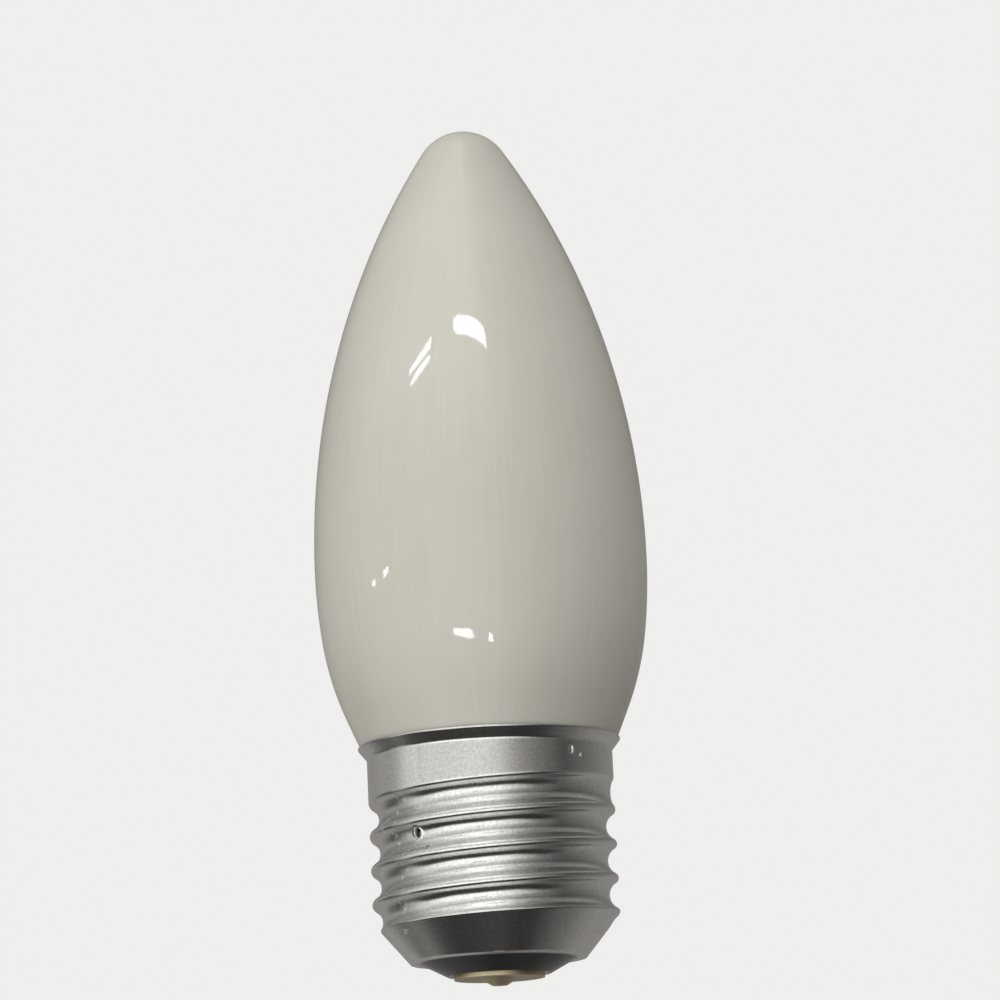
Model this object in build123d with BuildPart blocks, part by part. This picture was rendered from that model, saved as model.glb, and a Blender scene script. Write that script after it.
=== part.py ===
"""Candle bulb: a sealed opal glass in a drawn aluminium screw cap, upright on the axis of its cap."""

import os
from math import atan, cos, degrees, radians, sin, sqrt, tan

from build123d import *

os.makedirs("parts", exist_ok=True)

# Sizes are in millimetres. Z is the axis, z = 0 is the flat of the centre contact, and -Y is the front.

# Glass
bulb_diameter = 35.8
belly_rise = 19.5  # widest part of the glass above the rim
flank_radius = 86.5  # at the belly
flank_tightening = 0.011  # loss of radius from each arc of the flank to the next
flank_arcs = 6
flank_turn = 33.0  # from the belly to the nose, in degrees
seat_angle = 22.75  # taper where the glass enters the rim, from the axis
seat_rise = 3.0  # straight part of that taper above the rim
seat_depth = 0.4  # and below it, down to the shoulder of the neck
neck_clearance = 0.1
neck_depth = 10.5  # glass inside the cap, below the rim

# Drawn shell of the cap
cap_height = 26.0  # contact to rim
sheet = 0.3
crest_diameter = 26.2
thread_pitch = 3.629
thread_depth = 1.05
root_flat = 0.9  # bottom of the groove
mouth_width = 3.1  # groove at the crests
knee_depth = 0.68  # where the two flats of the groove's side meet
knee_width = 2.1
first_groove_depth = 7.2  # first groove at the front, below the rim
run_out_azimuth = -60.0  # where the first groove starts to fade, counted from +X
run_out_turns = 0.3
run_out_lift = 0.05  # end of the fading groove, clear of the collar
collar_clearance = 2.2  # wide bore of the collar below the shoulder of the neck
lip_flare = 0.9  # lip beyond the collar
lip_proud = 0.15  # lip beyond the glass
lip_rise = 0.95  # height of the flare
lip_drop = 0.6  # fullest part of the lip below the rim
cone_height = 7.05  # where the thread ends and the cone starts
cone_angle = 40.0  # cone's side, from the axis
shell_edge_height = 3.2

# Contact end
pip_height = 0.7
pip_base_diameter = 4.0
pip_flat_diameter = 1.6
contact_diameter = 9.6
contact_thickness = 0.4
insulator_land = 0.7  # ring of black glass round the contact

# What follows from those sizes
crest_radius = crest_diameter / 2
root_radius = crest_radius - thread_depth
thread_bore = root_radius - sheet
collar_bore = crest_radius - sheet
lip_radius = crest_radius + lip_flare
lip_height = cap_height - lip_drop
neck_radius = thread_bore - neck_clearance
contact_radius = contact_diameter / 2
contact_top = pip_height + contact_thickness
taper = Vector(sin(radians(seat_angle)), cos(radians(seat_angle)))  # up along the seat of the glass
seat = Vector(lip_radius - lip_proud, cap_height)
seat_top = seat + taper * (seat_rise / taper.Y)
seat_foot = seat - taper * (seat_depth / taper.Y)
neck_top = seat_foot.Y - (seat_foot.X - neck_radius)
collar_floor = neck_top - collar_clearance
collar_top = lip_height - lip_rise + sheet * tan(atan(lip_flare / lip_rise) / 2)
cone_slope = tan(radians(cone_angle))
edge_radius = crest_radius - (cone_height - shell_edge_height) * cone_slope
edge_bore = edge_radius - sheet / cos(radians(cone_angle))
cone_bore_top = shell_edge_height + (thread_bore - edge_bore) / cone_slope


def arc_joint(start, start_way, end, end_way):
    """Where two arcs meet that leave start and reach end along unit directions."""
    reach = end - start
    along = reach.dot(start_way + end_way)
    spread = 2 * (1 - start_way.dot(end_way))
    tangent = (sqrt(along**2 + spread * reach.dot(reach)) - along) / spread
    return (start + end + (start_way - end_way) * tangent) * 0.5


# Opal glass, blown and sealed: flank and nose above the belly, shoulder below it, neck hidden in the cap
belly = Vector(bulb_diameter / 2, cap_height + belly_rise)
shoulder_top = arc_joint(seat_top, taper, belly, Vector(0, 1))

with BuildPart() as glass_bulb:
    with BuildSketch(Plane.XZ):
        with BuildLine():
            flank = JernArc(belly, (0, 1), flank_radius, flank_turn / flank_arcs)
            for step in range(1, flank_arcs):
                arc_radius = flank_radius * (1 - flank_tightening * step)
                flank = JernArc(flank @ 1, flank % 1, arc_radius, flank_turn / flank_arcs)
            nose_join = flank @ 1
            nose_radius = nose_join.X / cos(radians(flank_turn))
            nose_height = nose_join.Y - nose_radius * sin(radians(flank_turn))
            nose = CenterArc((0, nose_height), nose_radius, flank_turn, 90 - flank_turn)
            TangentArc(belly, shoulder_top, tangent=(0, -1))
            TangentArc(seat_top, shoulder_top, tangent=taper)
            Polyline(
                seat_top,
                seat_foot,
                (neck_radius, neck_top),
                (neck_radius, cap_height - neck_depth),
                (0, cap_height - neck_depth),
                nose @ 1,
            )
        make_face()
    revolve(axis=Axis.Z)

# Groove of the rolled thread: five flats across, on a helix that fades out below the collar
groove_overcut = 0.1
side_slope = (mouth_width - knee_width) / 2 / knee_depth
groove_half = [
    Vector(0, root_flat / 2),
    Vector(thread_depth - knee_depth, knee_width / 2),
    Vector(thread_depth + groove_overcut, mouth_width / 2 + groove_overcut * side_slope),
]
groove_corners = [Vector(corner.X, -corner.Y) for corner in reversed(groove_half)] + groove_half
groove_top = cap_height - first_groove_depth + thread_pitch * (run_out_azimuth + 90) / 360
groove_floor = cone_height - thread_pitch / 2
groove_floor_azimuth = run_out_azimuth - 360 * (groove_top - groove_floor) / thread_pitch
run_out_rise = thread_pitch * run_out_turns
run_out_angle = atan((thread_depth + run_out_lift) / run_out_rise)


def groove_path(azimuth, height, rise, slope):
    """Helix at the bottom of the groove, from an azimuth upward, opening by a slope in radians."""
    with BuildLine() as path:
        Helix(thread_pitch / cos(slope), rise, root_radius, (0, 0, height), cone_angle=degrees(slope))
    return path.line.rotate(Axis.Z, azimuth)


def groove_plane(azimuth, height):
    """Plane through the axis, at the bottom of the groove, with its first direction outward."""
    outward = Vector(cos(radians(azimuth)), sin(radians(azimuth)), 0)
    return Plane(outward * root_radius + Vector(0, 0, height), outward, outward.cross(Vector(0, 0, 1)))


# Drawn shell: cone, threaded wall, plain collar and the lip that opens round the glass
with BuildPart() as screw_shell:
    with BuildSketch(Plane.XZ):
        with BuildLine():
            Polyline(
                (edge_radius, shell_edge_height),
                (crest_radius, cone_height),
                (crest_radius, lip_height - lip_rise),
                (lip_radius, lip_height),
                seat,
                seat_foot,
                (collar_bore, collar_top),
                (collar_bore, collar_floor),
                (thread_bore, collar_floor),
                (thread_bore, cone_bore_top),
                (edge_bore, shell_edge_height),
                close=True,
            )
        make_face()
    revolve(axis=Axis.Z)
    with BuildSketch(groove_plane(groove_floor_azimuth, groove_floor)):
        with BuildLine():
            Polyline(*groove_corners, close=True)
        make_face()
    full_groove = groove_path(groove_floor_azimuth, groove_floor, groove_top - groove_floor, 0)
    sweep(path=full_groove, is_frenet=True, mode=Mode.SUBTRACT)
    with BuildSketch(groove_plane(run_out_azimuth, groove_top)):
        with BuildLine():
            Polyline(*groove_corners, close=True)
        make_face()
    fading_groove = groove_path(run_out_azimuth, groove_top, run_out_rise, run_out_angle)
    sweep(path=fading_groove, is_frenet=True, mode=Mode.SUBTRACT)

# Insulator: black glass poured into the cone of the shell
with BuildPart() as insulator:
    with BuildSketch(Plane.XZ):
        with BuildLine():
            Polyline(
                (0, contact_top),
                (contact_radius + insulator_land, contact_top),
                (edge_bore, shell_edge_height),
                (thread_bore, cone_bore_top),
                (0, cone_bore_top),
                close=True,
            )
        make_face()
    revolve(axis=Axis.Z)

# Centre contact: a plate on the insulator, with a flattened pip
with BuildPart() as centre_contact:
    with BuildSketch(Plane.XZ):
        with BuildLine():
            Polyline(
                (0, 0),
                (pip_flat_diameter / 2, 0),
                (pip_base_diameter / 2, pip_height),
                (contact_radius, pip_height),
                (contact_radius, contact_top),
                (0, contact_top),
                close=True,
            )
        make_face()
    revolve(axis=Axis.Z)

pieces = {
    "glass_bulb": glass_bulb,
    "screw_shell": screw_shell,
    "insulator": insulator,
    "centre_contact": centre_contact,
}
for name, piece in pieces.items():
    piece.part.label = name
    export_step(piece.part, f"parts/{name}.step")
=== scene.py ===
"""Looks of the candle bulb: opal glass, drawn aluminium cap, black insulator and centre contact."""

from math import atan2, cos, degrees, pi, radians, sin, sqrt, tan

import bpy
import numpy as np
from mathutils import Euler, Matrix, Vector


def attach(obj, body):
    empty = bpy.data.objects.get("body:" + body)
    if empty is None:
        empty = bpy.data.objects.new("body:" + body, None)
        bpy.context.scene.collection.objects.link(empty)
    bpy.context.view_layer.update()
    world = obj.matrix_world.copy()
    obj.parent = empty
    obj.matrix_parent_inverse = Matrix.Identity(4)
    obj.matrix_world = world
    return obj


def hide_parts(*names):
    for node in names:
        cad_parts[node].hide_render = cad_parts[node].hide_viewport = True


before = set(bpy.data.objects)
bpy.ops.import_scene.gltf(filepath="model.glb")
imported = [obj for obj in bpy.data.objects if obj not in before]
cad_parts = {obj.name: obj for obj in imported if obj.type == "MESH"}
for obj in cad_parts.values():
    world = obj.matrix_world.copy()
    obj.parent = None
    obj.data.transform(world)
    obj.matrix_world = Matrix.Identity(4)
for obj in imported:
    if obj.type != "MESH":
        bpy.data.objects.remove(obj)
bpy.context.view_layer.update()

# Lengths on the pieces are in millimetres, and angles in degrees.
# Azimuths on the pieces count from +X, those in the studio from the front towards the right.
MILLIMETRE = 0.001

# Glass, as in the part's solid
CAP_HEIGHT = 26.0  # contact to rim
BELLY = (17.9, 45.5)  # radius and height of the widest part
FLANK_RADIUS, FLANK_TIGHTENING, FLANK_ARCS, FLANK_TURN = 86.5, 0.011, 6, 33.0
SEAT_RADIUS, SEAT_ANGLE, SEAT_RISE, SEAT_DEPTH = 13.85, 22.75, 3.0, 0.4
NECK_RADIUS, NECK_FLOOR = 11.65, 15.5

# Shell, as in the part's solid
CREST, PITCH, THREAD_DEPTH, SHEET = 13.1, 3.629, 1.05, 0.3
RUN_OUT_AZIMUTH, RUN_OUT_TURN = -60.0, 108.0
COLLAR_FLOOR = 21.37
CONE_HEIGHT, CONE_ANGLE, SHELL_EDGE = 7.05, 40.0, 3.2
LIP_RADIUS, LIP_HEIGHT = 14.0, 25.4

# Fine form that the solids don't have
NECK_CHAMFER = 0.3
GROOVE_TOP = 19.2  # where the groove starts to fade, 0.1 above the solid's
CREST_ROUND = 0.52
CONE_BLEND = 0.25  # softens the corners where the thread runs into the cone
ROLLED_EDGE = (8.25, 2.55)  # radius and height of the edge, rolled in over the insulator
LIP_COVE, LIP_LEAN = 0.55, 38
LIP_EDGE_ROUND, LIP_EDGE_RISE = 0.08, 0.2

# Wear on the shell: azimuth and height of the middle, half width and half height, and depth
PRICK_SPOT, PRICK_SIZE, PRICK_DEPTH, PRICK_RIDGE = (-129.4, 15.4), (0.42, 0.46), 0.45, 0.1
DIMPLE_SPOT, DIMPLE_SIZE, DIMPLE_DEPTH = (-49.1, 23.3), (0.25, 0.45), 0.14
PIMPLE_SPOT, PIMPLE_SIZE, PIMPLE_DEPTH = (-42.9, 22.8), (0.22, 0.24), -0.15
RIDGE_SHARE = 0.3  # height of the ridge round a dimple or pimple, against its depth

# Fineness of the meshes
GLASS_COLUMNS, SHELL_COLUMNS = 192, 300
WEAR_REACH, WEAR_COLUMNS = 2.6, 21  # closer columns to each side of a mark
CONE_ROWS, COLLAR_ROWS, FLARE_ROWS = 12, 24, 7
THREAD_ROW = 0.08
CONE_TOP, THREAD_FOOT = CONE_HEIGHT - 1.3, CONE_HEIGHT - 1.2  # wide rows end, close ones start

# Patterns that run one way, in metres to the radian or as a share of the height
GLASS_GIRTH, DRAWN_SHARE = 0.018, 0.03
ROLL_GIRTH = 0.0018


def colour(code):
    """Linear colour of an sRGB hex code."""
    parts = [int(code[i : i + 2], 16) / 255 for i in (1, 3, 5)]
    return [c / 12.92 if c <= 0.04045 else ((c + 0.055) / 1.055) ** 2.4 for c in parts] + [1.0]


def scale_for(size):
    """Scale of a pattern whose details have a size in millimetres."""
    return 1 / (size * MILLIMETRE)


def node(tree, kind, inputs=None, **settings):
    """Adds a node and gives its outputs.

    inputs holds links or values by socket, settings holds properties or values by input name.
    """
    made = tree.nodes.new(kind)
    for name, value in settings.items():
        if hasattr(made, name):
            setattr(made, name, value)
        else:
            made.inputs[name.replace("_", " ")].default_value = value
    for socket, source in (inputs or {}).items():
        if isinstance(source, bpy.types.NodeSocket):
            tree.links.new(source, made.inputs[socket])
        else:
            made.inputs[socket].default_value = source
    return made.outputs


def material(name):
    """An empty node material and its tree."""
    made = bpy.data.materials.new(name)
    made.use_nodes = True
    made.node_tree.nodes.clear()
    return made, made.node_tree


def places(tree):
    """Coordinates on a piece in metres, each axis of them, and the angle round the bulb's axis."""
    place = node(tree, "ShaderNodeTexCoord")["Object"]
    axes = node(tree, "ShaderNodeSeparateXYZ", {"Vector": place})
    angle = node(tree, "ShaderNodeMath", {0: axes["Y"], 1: axes["X"]}, operation="ARCTAN2")[0]
    return place, axes, angle


# Opal glass, blown: milky under a clear gloss, with faint lines drawn lengthwise and a few specks
def blown_opal_glass():
    made, tree = material("blown_opal_glass")
    place, axes, angle = places(tree)
    across = node(tree, "ShaderNodeMath", {0: angle, 1: GLASS_GIRTH}, operation="MULTIPLY")[0]
    along = node(tree, "ShaderNodeMath", {0: axes["Z"], 1: DRAWN_SHARE}, operation="MULTIPLY")[0]
    drawn = node(tree, "ShaderNodeCombineXYZ", {"X": across, "Y": along})[0]
    # Lines about 0.5 mm apart
    lines = node(
        tree, "ShaderNodeTexNoise", {"Vector": drawn}, Scale=scale_for(0.5), Detail=3.0
    )["Fac"]
    # Cloudy patches about 12 mm across
    clouds = node(
        tree, "ShaderNodeTexNoise", {"Vector": place}, Scale=scale_for(12), Detail=2.0
    )["Fac"]
    mottle = node(tree, "ShaderNodeMath", {0: lines, 1: clouds}, operation="ADD")[0]
    tone = node(tree, "ShaderNodeMapRange", {"Value": mottle}, From_Min=0.7, From_Max=1.3)[0]
    milk = node(
        tree,
        "ShaderNodeMix",
        {"Factor": tone, "A": colour("#d5d5ce"), "B": colour("#dadad4")},
        data_type="RGBA",
    )["Result"]
    # Specks up to 0.3 mm wide in cells of 9 mm, only a few of which reach the surface
    cells = node(tree, "ShaderNodeTexVoronoi", {"Vector": place}, Scale=scale_for(9))["Distance"]
    speck = node(
        tree,
        "ShaderNodeMapRange",
        {"Value": cells},
        From_Min=0.012,
        From_Max=0.02,
        To_Min=0.55,
        To_Max=0.0,
    )[0]
    specked = node(
        tree,
        "ShaderNodeMix",
        {"Factor": speck, "A": milk, "B": colour("#8d877c")},
        data_type="RGBA",
    )["Result"]
    ripple = node(tree, "ShaderNodeBump", {"Height": lines}, Strength=0.02, Distance=0.0002)[0]
    shader = node(
        tree,
        "ShaderNodeBsdfPrincipled",
        {"Base Color": specked, "Normal": ripple},
        Roughness=0.04,
        IOR=1.5,
        Subsurface_Weight=0.15,
        Subsurface_Scale=0.002,
        Subsurface_Radius=(1.0, 0.95, 0.9),
    )[0]
    node(tree, "ShaderNodeOutputMaterial", {"Surface": shader})
    return made


# Aluminium sheet, drawn and rolled: satin, with a fine grain and faint lines left by the rolls
def rolled_aluminium():
    made, tree = material("rolled_aluminium")
    place, axes, angle = places(tree)
    around = node(tree, "ShaderNodeMath", {0: angle, 1: ROLL_GIRTH}, operation="MULTIPLY")[0]
    rolled = node(tree, "ShaderNodeCombineXYZ", {"X": around, "Y": axes["Z"]})[0]
    # Lines 0.2 mm wide and seven times as long, coarser than the metal's own so that they show
    lines = node(
        tree, "ShaderNodeTexNoise", {"Vector": rolled}, Scale=scale_for(0.2), Detail=2.0
    )["Fac"]
    # Grain of 0.25 mm, coarser than the metal's own so that it shows
    grain = node(
        tree, "ShaderNodeTexNoise", {"Vector": place}, Scale=scale_for(0.25), Detail=3.0
    )["Fac"]
    satin = node(tree, "ShaderNodeMix", {"A": grain, "B": lines}, Factor=0.25)["Result"]
    bare = node(
        tree,
        "ShaderNodeMix",
        {"Factor": satin, "A": colour("#b4b3b1"), "B": colour("#ffffff")},
        data_type="RGBA",
    )["Result"]
    # Duller stains about 5 mm across
    stains = node(
        tree, "ShaderNodeTexNoise", {"Vector": place}, Scale=scale_for(5), Detail=4.0
    )["Fac"]
    dull = node(
        tree,
        "ShaderNodeMapRange",
        {"Value": stains},
        From_Min=0.3,
        From_Max=0.7,
        To_Min=0.13,
        To_Max=0.21,
    )[0]
    # Pale scuffs of about 0.5 mm, on the left of the thread and the cone
    knocks = node(
        tree, "ShaderNodeTexNoise", {"Vector": place}, Scale=scale_for(1.1), Detail=3.0
    )["Fac"]
    scuff = node(tree, "ShaderNodeMapRange", {"Value": knocks}, From_Min=0.6, From_Max=0.68)[0]
    left = node(
        tree, "ShaderNodeMapRange", {"Value": axes["X"]}, From_Min=-0.005, From_Max=-0.009
    )[0]
    low = node(
        tree, "ShaderNodeMapRange", {"Value": axes["Z"]}, From_Min=0.021, From_Max=0.019
    )[0]
    side = node(tree, "ShaderNodeMath", {0: left, 1: low}, operation="MULTIPLY")[0]
    worn = node(tree, "ShaderNodeMath", {0: scuff, 1: side}, operation="MULTIPLY")[0]
    scuffed = node(
        tree,
        "ShaderNodeMix",
        {"Factor": worn, "A": bare, "B": colour("#ffffff")},
        data_type="RGBA",
    )["Result"]
    scuff_roughness = 0.45
    rubbed = node(tree, "ShaderNodeMath", {0: worn, 1: scuff_roughness}, operation="MULTIPLY")[0]
    # Painted shade: the middle of the prick is painted near black for the shade deep in its pit,
    # and made duller
    painted_pit_shade = node(tree, "ShaderNodeAttribute", attribute_name="painted_pit_shade")["Fac"]
    tone = node(
        tree,
        "ShaderNodeMix",
        {"Factor": painted_pit_shade, "A": scuffed, "B": colour("#050505")},
        data_type="RGBA",
    )["Result"]
    dull = node(tree, "ShaderNodeMath", {0: dull, 1: painted_pit_shade}, operation="MAXIMUM")[0]
    dull = node(tree, "ShaderNodeMath", {0: dull, 1: rubbed}, operation="MAXIMUM")[0]
    bump = node(tree, "ShaderNodeBump", {"Height": satin}, Strength=0.09, Distance=0.00005)[0]
    shader = node(
        tree,
        "ShaderNodeBsdfPrincipled",
        {"Base Color": tone, "Roughness": dull, "Normal": bump},
        Metallic=1.0,
    )[0]
    node(tree, "ShaderNodeOutputMaterial", {"Surface": shader})
    return made


# Black glass, poured: deep and glossy, with slight waves where it set
def poured_black_glass():
    made, tree = material("poured_black_glass")
    place = node(tree, "ShaderNodeTexCoord")["Object"]
    # Waves about 2 mm across
    waves = node(
        tree, "ShaderNodeTexNoise", {"Vector": place}, Scale=scale_for(2), Detail=1.0
    )["Fac"]
    tone = node(
        tree,
        "ShaderNodeMix",
        {"Factor": waves, "A": colour("#17171a"), "B": colour("#26262b")},
        data_type="RGBA",
    )["Result"]
    bump = node(tree, "ShaderNodeBump", {"Height": waves}, Strength=0.15, Distance=0.0002)[0]
    shader = node(
        tree,
        "ShaderNodeBsdfPrincipled",
        {"Base Color": tone, "Normal": bump},
        Roughness=0.15,
        IOR=1.52,
    )[0]
    node(tree, "ShaderNodeOutputMaterial", {"Surface": shader})
    return made


# Brass plate, pressed and tinned: pale, a little dull, with small scuffs
def tinned_brass():
    made, tree = material("tinned_brass")
    place = node(tree, "ShaderNodeTexCoord")["Object"]
    # Scuffs of about 0.4 mm
    scuffs = node(
        tree, "ShaderNodeTexNoise", {"Vector": place}, Scale=scale_for(0.4), Detail=4.0
    )["Fac"]
    tone = node(
        tree,
        "ShaderNodeMix",
        {"Factor": scuffs, "A": colour("#b3a47c"), "B": colour("#d9d0b4")},
        data_type="RGBA",
    )["Result"]
    dull = node(tree, "ShaderNodeMapRange", {"Value": scuffs}, To_Min=0.28, To_Max=0.45)[0]
    shader = node(
        tree, "ShaderNodeBsdfPrincipled", {"Base Color": tone, "Roughness": dull}, Metallic=1.0
    )[0]
    node(tree, "ShaderNodeOutputMaterial", {"Surface": shader})
    return made


def arc(centre, radius, start, end, steps):
    """Points on an arc of an outline, from one angle to another, without the first."""
    turns = np.radians(np.linspace(start, end, steps + 1)[1:])
    return [(centre[0] + radius * cos(t), centre[1] + radius * sin(t)) for t in turns]


def round_piece(name, radii, heights, azimuths, finish, closed):
    """Piece made of rows of points round the axis.

    radii has a row for each height and a column for each azimuth, which are in radians here.
    In a closed piece the last row joins the first.
    """
    rows, columns = radii.shape
    heights = np.broadcast_to(heights, radii.shape)
    points = np.stack([radii * np.cos(azimuths), radii * np.sin(azimuths), heights], -1)
    index = np.arange(rows * columns).reshape(rows, columns)
    lower = index if closed else index[:-1]
    upper = np.roll(index, -1, 0) if closed else index[1:]
    faces = np.stack([lower, np.roll(lower, -1, 1), np.roll(upper, -1, 1), upper], -1)
    mesh = bpy.data.meshes.new(name)
    corners = points.reshape(-1, 3) * MILLIMETRE
    mesh.from_pydata(corners.tolist(), [], faces.reshape(-1, 4).tolist())
    mesh.validate()
    mesh.polygons.foreach_set("use_smooth", [True] * len(mesh.polygons))
    mesh.materials.append(finish)
    piece = bpy.data.objects.new(name, mesh)
    bpy.context.collection.objects.link(piece)
    return piece


def seat_foot():
    """Lower end of the glass's seat in the rim."""
    return (SEAT_RADIUS - SEAT_DEPTH * tan(radians(SEAT_ANGLE)), CAP_HEIGHT - SEAT_DEPTH)


def glass_outline():
    """Outline of the glass from the foot of its neck to its tip, just off the axis at both ends."""
    axis_gap, nose_end = 0.01, 89.9
    foot = seat_foot()
    top = (SEAT_RADIUS + SEAT_RISE * tan(radians(SEAT_ANGLE)), CAP_HEIGHT + SEAT_RISE)
    outline = [
        (axis_gap, NECK_FLOOR),
        (NECK_RADIUS - NECK_CHAMFER, NECK_FLOOR),
        (NECK_RADIUS, NECK_FLOOR + NECK_CHAMFER),
        (NECK_RADIUS, foot[1] - foot[0] + NECK_RADIUS),
        foot,
        (SEAT_RADIUS, CAP_HEIGHT),
        top,
    ]
    # Two arcs with tangents of equal length carry the seat's taper round to the belly
    way = (sin(radians(SEAT_ANGLE)), cos(radians(SEAT_ANGLE)))
    reach = (BELLY[0] - top[0], BELLY[1] - top[1])
    along = reach[0] * way[0] + reach[1] * (way[1] + 1)
    spread = 2 * (1 - way[1])
    pull = (sqrt(along**2 + spread * (reach[0] ** 2 + reach[1] ** 2)) - along) / spread
    joint = (
        (top[0] + BELLY[0] + pull * way[0]) / 2,
        (top[1] + BELLY[1] + pull * (way[1] - 1)) / 2,
    )
    joint_turn = 2 * degrees(atan2(BELLY[0] - joint[0], BELLY[1] - joint[1]))
    lower = (BELLY[1] - joint[1]) / sin(radians(joint_turn))
    shoulder = (joint[1] - top[1]) / (way[0] - sin(radians(joint_turn)))
    shoulder_centre = (top[0] - shoulder * way[1], top[1] + shoulder * way[0])
    outline += arc(shoulder_centre, shoulder, -SEAT_ANGLE, -joint_turn, steps=16)
    outline += arc((BELLY[0] - lower, BELLY[1]), lower, -joint_turn, 0, steps=14)
    # Flank: each arc is a little tighter than the one below it
    centre = (BELLY[0] - FLANK_RADIUS, BELLY[1])
    shrink = FLANK_RADIUS * FLANK_TIGHTENING
    turn = FLANK_TURN / FLANK_ARCS
    for step in range(FLANK_ARCS):
        radius = FLANK_RADIUS * (1 - FLANK_TIGHTENING * step)
        outline += arc(centre, radius, turn * step, turn * (step + 1), steps=10)
        lean = radians(turn * (step + 1))
        centre = (centre[0] + shrink * cos(lean), centre[1] + shrink * sin(lean))
    nose = outline[-1][0] / cos(radians(FLANK_TURN))
    nose_centre = (0, outline[-1][1] - nose * sin(radians(FLANK_TURN)))
    outline += arc(nose_centre, nose, FLANK_TURN, nose_end, steps=18)
    return np.array(outline)


def groove(azimuths, heights):
    """Depth of the rolled groove: a round trough on a helix, fading out at the collar."""
    half = PITCH / 2
    rounds = (THREAD_DEPTH**2 + half**2) / (2 * THREAD_DEPTH)
    trough = rounds - CREST_ROUND
    bend = trough * half / rounds
    first_turn, last_turn = -4, 1
    depth = np.zeros(np.broadcast(azimuths, heights).shape)
    for turn in range(first_turn, last_turn + 1):
        swept = np.degrees(azimuths) + 360 * turn
        centre = GROOVE_TOP + PITCH * (swept - RUN_OUT_AZIMUTH) / 360
        fade = np.clip(1 - (swept - RUN_OUT_AZIMUTH) / RUN_OUT_TURN, 0, 1)
        off = np.abs(heights - centre)
        root = THREAD_DEPTH - trough + np.sqrt(np.maximum(trough**2 - off**2, 0))
        crest = CREST_ROUND - np.sqrt(np.maximum(CREST_ROUND**2 - (half - off) ** 2, 0))
        wave = np.where(off < bend, root, np.where(off < half, crest, 0))
        depth += wave * fade * fade * (3 - 2 * fade)
    return depth


def away(azimuths, heights, spot, size):
    """Distance from the middle of a mark, as a share of its half width and half height."""
    aside = CREST * ((azimuths - radians(spot[0]) + pi) % (2 * pi) - pi)
    return np.sqrt((aside / size[0]) ** 2 + ((heights - spot[1]) / size[1]) ** 2)


def dent(distance, depth, steepness, ridge, ridge_place, ridge_width):
    """Change of radius at a mark with a ridge round it, by the distance from its middle."""
    edge = ridge * np.exp(-(((distance - ridge_place) / ridge_width) ** 2))
    return edge - depth * np.exp(-(distance**steepness))


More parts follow.
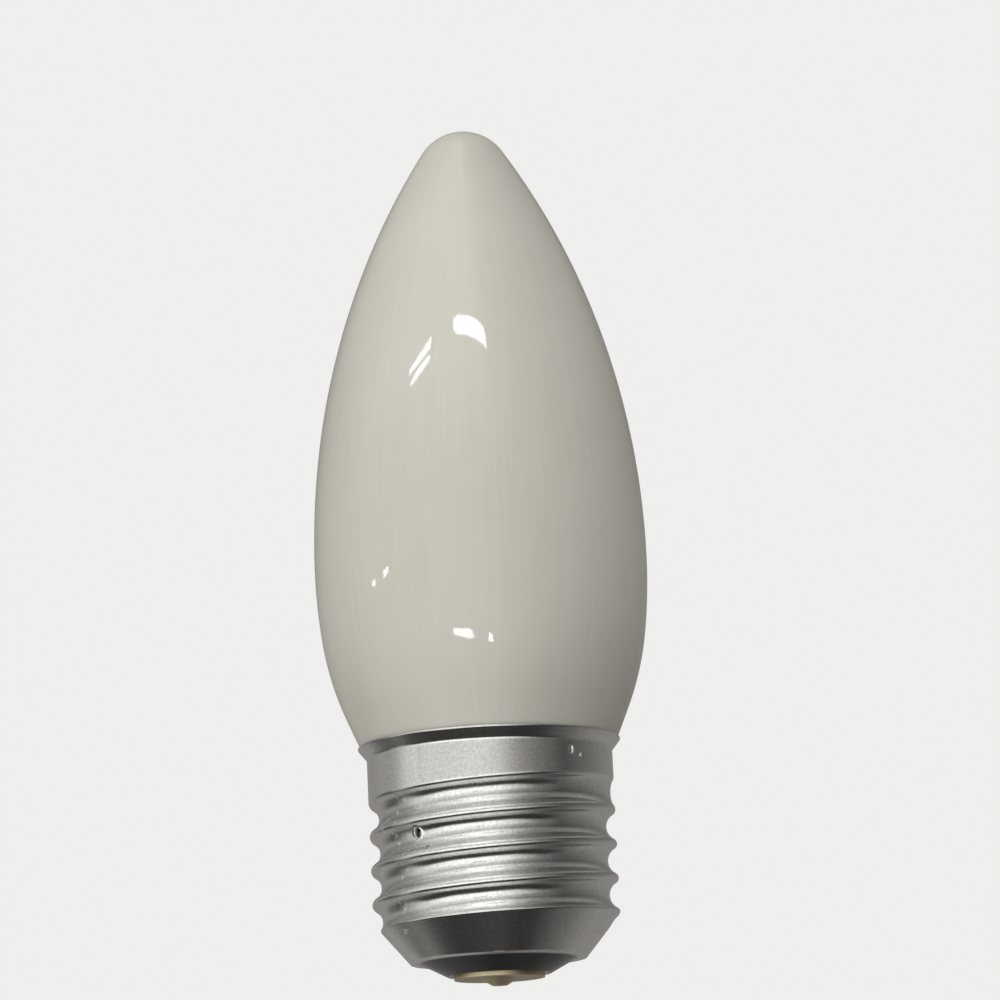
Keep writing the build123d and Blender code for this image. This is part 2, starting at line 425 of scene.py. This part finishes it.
def drawn_shell(finish):
    """The drawn shell: cone, rolled thread, collar, flared lip, and the plain inside."""
    close = np.linspace(-WEAR_REACH, WEAR_REACH, WEAR_COLUMNS)
    columns = [np.linspace(-pi, pi, SHELL_COLUMNS, endpoint=False)]
    columns += [np.radians(spot[0] + close) for spot in (PRICK_SPOT, DIMPLE_SPOT, PIMPLE_SPOT)]
    azimuths = np.unique(np.round(np.concatenate(columns), 5))
    slope = tan(radians(CONE_ANGLE))

    # Lip: a small cove, a flare that leans out, and the thin edge of the sheet
    lean = radians(LIP_LEAN)
    edge_centre = (LIP_RADIUS - LIP_EDGE_ROUND, LIP_HEIGHT + LIP_EDGE_RISE)
    flare_top = edge_centre[1] - LIP_EDGE_ROUND * sin(lean)
    flare_reach = edge_centre[0] + LIP_EDGE_ROUND * cos(lean) - CREST - LIP_COVE * (1 - cos(lean))
    cove_foot = flare_top - flare_reach / tan(lean) - LIP_COVE * sin(lean)
    cove = arc((CREST + LIP_COVE, cove_foot), LIP_COVE, 180, 180 - LIP_LEAN, steps=6)
    edge = arc(edge_centre, LIP_EDGE_ROUND, -LIP_LEAN, 90, steps=6)
    flare = np.linspace(cove[-1], (edge[0][0], flare_top), FLARE_ROWS + 1)[1:]

    # Outside, from the edge round the insulator up to the cove
    cone = np.linspace(ROLLED_EDGE[1], CONE_TOP, CONE_ROWS)
    thread = np.arange(THREAD_FOOT, COLLAR_FLOOR, THREAD_ROW)
    collar = np.linspace(COLLAR_FLOOR, cove_foot, COLLAR_ROWS)
    outer = np.concatenate([cone, thread, collar])[:, None]
    straight = CREST - groove(azimuths, outer)
    taper = CREST - (CONE_HEIGHT - outer) * slope
    blend = np.maximum(CONE_BLEND - np.abs(straight - taper), 0)
    radii = np.minimum(straight, taper) - blend**2

    # A punched prick with a raised edge, and a dimple and a pimple on the collar
    prick = away(azimuths, outer, PRICK_SPOT, PRICK_SIZE)
    radii += dent(
        prick, PRICK_DEPTH, steepness=6, ridge=PRICK_RIDGE, ridge_place=1.25, ridge_width=0.22
    )
    # Painted shade: a mask of the prick's middle, which the finish paints near black as the shade
    # in the pit
    painted_pit_shade_reach, painted_pit_shade_steepness = 1.02, 10
    painted_pit_shade = np.exp(-((prick / painted_pit_shade_reach) ** painted_pit_shade_steepness))
    for spot, size, depth in (
        (DIMPLE_SPOT, DIMPLE_SIZE, DIMPLE_DEPTH),
        (PIMPLE_SPOT, PIMPLE_SIZE, PIMPLE_DEPTH),
    ):
        mark = away(azimuths, outer, spot, size)
        ridge = RIDGE_SHARE * depth
        radii += dent(mark, depth, steepness=4, ridge=ridge, ridge_place=1.3, ridge_width=0.3)

    # Inside, back down to the edge
    bore = CREST - THREAD_DEPTH - SHEET
    edge_bore = CREST - (CONE_HEIGHT - SHELL_EDGE) * slope - SHEET / cos(radians(CONE_ANGLE))
    inside = [
        seat_foot(),
        (CREST - SHEET, cove_foot + SHEET),
        (CREST - SHEET, COLLAR_FLOOR),
        (bore, COLLAR_FLOOR),
        (bore, SHELL_EDGE + (bore - edge_bore) / slope),
        (edge_bore, SHELL_EDGE),
        ROLLED_EDGE,
    ]
    rest = np.array([*cove, *flare, *edge, *inside])
    plain = (len(rest), len(azimuths))
    heights = np.concatenate([outer, rest[:, 1:]])
    radii = np.concatenate([radii, np.broadcast_to(rest[:, :1], plain)])
    painted_pit_shade = np.concatenate([painted_pit_shade, np.zeros(plain)])
    shell = round_piece("drawn_shell", radii, heights, azimuths, finish, closed=True)
    painted_pit_shade_attribute = shell.data.attributes.new("painted_pit_shade", "FLOAT", "POINT")
    painted_pit_shade_attribute.data.foreach_set("value", painted_pit_shade.ravel())
    return shell


def opal_glass(finish):
    """The blown glass with its neck."""
    outline = glass_outline()
    azimuths = np.linspace(-pi, pi, GLASS_COLUMNS, endpoint=False)
    radii = np.broadcast_to(outline[:, :1], (len(outline), GLASS_COLUMNS))
    return round_piece("opal_glass", radii, outline[:, 1:], azimuths, finish, closed=False)


# Pieces and finishes
glass, shell = opal_glass(blown_opal_glass()), drawn_shell(rolled_aluminium())
for piece, solid, slot in (
    (glass, "glass_bulb", "opal_glass"),
    (shell, "screw_shell", "drawn_aluminium"),
):
    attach(piece, "root")
    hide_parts(solid)
for solid, finish in (("insulator", poured_black_glass()), ("centre_contact", tinned_brass())):
    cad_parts[solid].data.materials.clear()
    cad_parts[solid].data.materials.append(finish)

# Studio, in metres: pale floor, soft lamps, and cards that only reflections show
FLOOR_HEIGHT, FLOOR_HALF = -0.06, 4
# Places on the glass and the cap that the lamps and cards are set out from
FLANK_SPOT, LOW_SPOT = (0, -0.0137, 0.0665), (0, -0.0172, 0.0347)
MIDDLE_SPOT, CAP_SPOT = (0, 0, 0.05), (0, 0, 0.015)


def direction(azimuth, elevation):
    """Direction from a place in the studio."""
    a, e = radians(azimuth), radians(elevation)
    return Vector((sin(a) * cos(e), -cos(a) * cos(e), sin(e)))


def stage_card(name, mesh):
    """A card that only reflections show."""
    card = bpy.data.objects.new(name, mesh)
    bpy.context.collection.objects.link(card)
    card.visible_camera = card.visible_diffuse = False
    card.visible_shadow = card.visible_transmission = False
    return card


def bent_card(name, finish, centre, distance, columns):
    """A card bent round a place. Each column has an azimuth, a lowest and a highest elevation."""
    corners = [
        Vector(centre) + direction(azimuth, elevation) * distance
        for azimuth, low, high in columns
        for elevation in (low, high)
    ]
    faces = [(2 * i, 2 * i + 2, 2 * i + 3, 2 * i + 1) for i in range(len(columns) - 1)]
    mesh = bpy.data.meshes.new(name)
    mesh.from_pydata(corners, [], faces)
    mesh.materials.append(finish)
    return stage_card(name, mesh)


def soft_lamp(name, centre, distance, azimuth, elevation, width, height, radiance, tone):
    """A soft rectangular lamp that faces a place and doesn't show itself."""
    lamp = bpy.data.lights.new(name, "AREA")
    lamp.shape = "RECTANGLE"
    lamp.size, lamp.size_y = width, height
    lamp.energy = radiance * pi * width * height
    lamp.color = colour(tone)[:3]
    holder = bpy.data.objects.new(name, lamp)
    bpy.context.collection.objects.link(holder)
    way = direction(azimuth, elevation)
    holder.location = Vector(centre) + way * distance
    holder.rotation_euler = way.to_track_quat("Z", "Y").to_euler()
    holder.visible_camera = holder.visible_glossy = False
    return holder


def lit_only(name, *pieces):
    """Collection of the only pieces that a lamp lights."""
    lit = bpy.data.collections.new(name)
    for piece in pieces:
        lit.objects.link(piece)
    return lit


def pale_floor():
    """Floor that the camera sees pale with a soft shadow, and straight through from below."""
    made, tree = material("pale_floor")
    haze_share = 0.8
    paint = node(tree, "ShaderNodeBsdfPrincipled", Base_Color=colour("#e8e7e4"), Roughness=0.9)[0]
    haze = node(tree, "ShaderNodeEmission", Color=colour("#f2f2f0"), Strength=0.95)[0]
    seen = node(tree, "ShaderNodeLightPath")["Is Camera Ray"]
    veil = node(tree, "ShaderNodeMath", {0: seen, 1: haze_share}, operation="MULTIPLY")[0]
    pale = node(tree, "ShaderNodeMixShader", {0: veil, 1: paint, 2: haze})[0]
    below = node(tree, "ShaderNodeNewGeometry")["Backfacing"]
    clear = node(tree, "ShaderNodeBsdfTransparent")[0]
    surface = node(tree, "ShaderNodeMixShader", {0: below, 1: pale, 2: clear})[0]
    node(tree, "ShaderNodeOutputMaterial", {"Surface": surface})
    mesh = bpy.data.meshes.new("floor")
    sides = ((-1, -1), (1, -1), (1, 1), (-1, 1))
    corners = [(x * FLOOR_HALF, y * FLOOR_HALF, FLOOR_HEIGHT) for x, y in sides]
    mesh.from_pydata(corners, [], [(0, 1, 2, 3)])
    mesh.materials.append(made)
    return mesh


floor = bpy.data.objects.new("floor", pale_floor())
bpy.context.collection.objects.link(floor)
floor.visible_glossy = False

soft_lamp(
    "window", FLANK_SPOT, distance=0.8, azimuth=-10, elevation=41,
    width=0.68, height=0.65, radiance=2.2, tone="#fffefb",
)
soft_lamp(
    "left_fill", MIDDLE_SPOT, distance=0.9, azimuth=-50, elevation=12,
    width=0.6, height=0.8, radiance=1.0, tone="#fffbf5",
)
back_fill = soft_lamp(
    "back_fill", MIDDLE_SPOT, distance=1.2, azimuth=180, elevation=20,
    width=0.4, height=0.4, radiance=7, tone="#fffbf5",
)
back_fill.light_linking.receiver_collection = lit_only("bulb_only", glass, shell)

# Bright shapes in the gloss of the glass: an arched lamp in three parts, and small low lamps
lamp_glow, lamp_tree = material("lamp_glow")
lamp_light = node(lamp_tree, "ShaderNodeEmission", Color=colour("#ffffff"), Strength=14)[0]
node(lamp_tree, "ShaderNodeOutputMaterial", {"Surface": lamp_light})
HIGH_LAMPS = {
    "arch": [(-16, 44.5, 46), (-13, 43.5, 47), (9, 42, 46), (13.5, 41, 44.5), (15, 40, 43)],
    "arch_left": [(-54.5, 34, 35), (-46, 37, 38.5), (-37, 40, 42)],
    "arch_left_low": [(-51.5, 32.5, 33.5), (-45, 35, 36.5), (-36.5, 38, 39)],
}
LOW_LAMPS = {
    "low_lamp": [(-22, -13.5, -11), (-9, -16, -12), (-7.5, -15.5, -14)],
    "low_lamp_right": [(3.5, -17.5, -15), (5, -17.5, -13.5), (7, -17.5, -15)],
    "side_lamp": [(-71, 5.5, 7), (-67, 6.5, 7.5)],
    "side_lamp_low": [(-81, 5, 6), (-78.5, 5, 6)],
}
glass_only = lit_only("glass_only", glass)
for lamps, spot, distance in ((HIGH_LAMPS, FLANK_SPOT, 0.6), (LOW_LAMPS, LOW_SPOT, 0.4)):
    for name, columns in lamps.items():
        card = bent_card(name, lamp_glow, spot, distance, columns)
        card.light_linking.receiver_collection = glass_only

# Room that glass and metal mirror: a graded card all round, light in front, dark below the front
ROOM_RADIUS, ROOM_TURN, ROOM_TILT, ROOM_TOP = 1.2, 6, 3, 87
ROOM_AZIMUTHS = (-180, -145, -125, -112, -100, -78, -50, -10, 4, 28, 48, 72, 112, 134, 180)
CEILING_TONES = (0.4, 0.4, 0.4, 0.42, 0.5, 0.8, 1.2, 1.3, 1.15, 0.6, 0.3, 0.22, 0.3, 0.35, 0.4)
WALL_TONES = (0.3, 0.34, 0.38, 0.4, 0.43, 0.88, 0.84, 0.92, 0.84, 0.36, 0.22, 0.1, 0.22, 0.28, 0.3)
TABLE_TONES = (0.3, 0.36, 0.14, 0.12, 0.4, 0.8, 1.3, 1.45, 1.4, 0.75, 0.26, 0.12, 0.25, 0.32, 0.3)
DARK_TONES = (0.15, 0.42, 0.36, 0.2, 0.08, 0.05, 0.06, 0.06, 0.06, 0.05, 0.04, 0.05, 0.2, 0.3, 0.15)
DOWN_TONE = 0.11
DIP_SHARE = 0.75  # of the wall's tone, in a dip between wall and ceiling
# Elevations between which one tone passes into the next
TABLE_TO_WALL, WALL_TO_DIP, DIP_TO_CEILING, TO_DOWN = (-10, 4), (10, 18), (26, 38), (-72, -84)
# Elevation where the dark below starts, higher at the sides, and the depth over which it sets in
SHORE_AZIMUTHS, SHORE = (-110, -75, -45, 25, 55, 100), (-35, -20, -35, -35, -18, -35)
SHORE_DEPTH = 11
# Window pane, faint in the glass: azimuth and elevation of its middle, half size and soft edge
PANE_TONE, PANE_MIDDLE, PANE_HALF, PANE_EDGE = 0.2, (-10, 46), (26, 22), (6, 3)


def passed(values, start, end):
    """Share of the way from a start to an end, from 0 to 1."""
    return np.clip((values - start) / (end - start), 0, 1)


def room_tones(azimuths, elevations):
    """Brightness of the room in each direction."""
    profiles = (CEILING_TONES, WALL_TONES, TABLE_TONES, DARK_TONES)
    ceiling, wall, table, dark = [np.interp(azimuths, ROOM_AZIMUTHS, p) for p in profiles]
    dip = DIP_SHARE * wall
    shore = np.interp(azimuths, SHORE_AZIMUTHS, SHORE)
    tones = table + (dark - table) * passed(elevations, shore, shore - SHORE_DEPTH)
    tones += (wall - table) * passed(elevations, *TABLE_TO_WALL)
    tones += (dip - wall) * passed(elevations, *WALL_TO_DIP)
    tones += (ceiling - dip) * passed(elevations, *DIP_TO_CEILING)
    tones += (DOWN_TONE - tones) * passed(elevations, *TO_DOWN)
    across = (PANE_HALF[0] - np.abs(azimuths - PANE_MIDDLE[0])) / PANE_EDGE[0]
    upward = (PANE_HALF[1] - np.abs(elevations - PANE_MIDDLE[1])) / PANE_EDGE[1]
    return tones + PANE_TONE * np.clip(across, 0, 1) * np.clip(upward, 0, 1)


def room_card():
    """The room as a mesh with a brightness at each point."""
    azimuths, elevations = np.meshgrid(
        np.arange(-180, 180, ROOM_TURN), np.arange(-ROOM_TOP, ROOM_TOP + 1, ROOM_TILT)
    )
    a, e = np.radians(azimuths), np.radians(elevations)
    ways = np.stack([np.sin(a) * np.cos(e), -np.cos(a) * np.cos(e), np.sin(e)], -1)
    points = ways.reshape(-1, 3) * ROOM_RADIUS + np.array(CAP_SPOT)
    index = np.arange(azimuths.size).reshape(azimuths.shape)
    right = np.roll(index, -1, 1)
    faces = np.stack([index[:-1], right[:-1], right[1:], index[1:]], -1).reshape(-1, 4)
    mesh = bpy.data.meshes.new("room")
    mesh.from_pydata(points.tolist(), [], faces.tolist())
    brightness = mesh.attributes.new("brightness", "FLOAT", "POINT")
    brightness.data.foreach_set("value", room_tones(azimuths, elevations).ravel())
    made, tree = material("room_glow")
    level = node(tree, "ShaderNodeAttribute", attribute_name="brightness")["Fac"]
    tint = node(
        tree,
        "ShaderNodeMix",
        {"Factor": level, "A": colour("#f2ece6"), "B": colour("#fffefa")},
        data_type="RGBA",
    )["Result"]
    light = node(tree, "ShaderNodeEmission", {"Color": tint, "Strength": level})[0]
    node(tree, "ShaderNodeOutputMaterial", {"Surface": light})
    mesh.materials.append(made)
    return mesh


stage_card("room", room_card())

# Black card low on the right, which takes light from the glass there
black_card, black_tree = material("black_card")
black = node(black_tree, "ShaderNodeBsdfDiffuse", Color=colour("#0c0c0c"))[0]
node(black_tree, "ShaderNodeOutputMaterial", {"Surface": black})
shade_columns = [(azimuth, -75, -20) for azimuth in (70, 95, 120, 145, 170)]
shade = bent_card("shade", black_card, LOW_SPOT, distance=0.06, columns=shade_columns)
shade.visible_glossy, shade.visible_diffuse = False, True

# Air: a pale backdrop to the eye and in reflections, and a weak warm light on the pieces
world = bpy.data.worlds.new("studio")
bpy.context.scene.world = world
world.use_nodes = True
sky = world.node_tree
sky.nodes.clear()
rays = node(sky, "ShaderNodeLightPath")
shown = rays["Is Camera Ray"]
for ray in ("Is Glossy Ray", "Is Transmission Ray"):
    shown = node(sky, "ShaderNodeMath", {0: shown, 1: rays[ray]}, operation="MAXIMUM")[0]
air = node(sky, "ShaderNodeBackground", Color=colour("#fff8f0"), Strength=0.32)[0]
backdrop = node(sky, "ShaderNodeBackground", Color=colour("#f4f4f2"), Strength=0.95)[0]
seen_air = node(sky, "ShaderNodeMixShader", {0: shown, 1: air, 2: backdrop})[0]
node(sky, "ShaderNodeOutputWorld", {"Surface": seen_air})

# Camera: 400 mm in front, 33 mm below the contact, looking up and turned a little
LOOK_UP, ROLL = 12.04, -2.7
lens = bpy.data.cameras.new("camera")
lens.sensor_width = 36.0
lens.lens = 136.03
lens.clip_start = 0.005
camera = bpy.data.objects.new("camera", lens)
camera.location = (0.0024, -0.4, -0.03307)
tilt, roll = Euler((radians(90 + LOOK_UP), 0, 0)), Euler((0, 0, radians(ROLL)))
camera.rotation_euler = (tilt.to_matrix() @ roll.to_matrix()).to_euler()
bpy.context.collection.objects.link(camera)
bpy.context.scene.camera = camera
bpy.context.scene.view_settings.view_transform = "Standard"
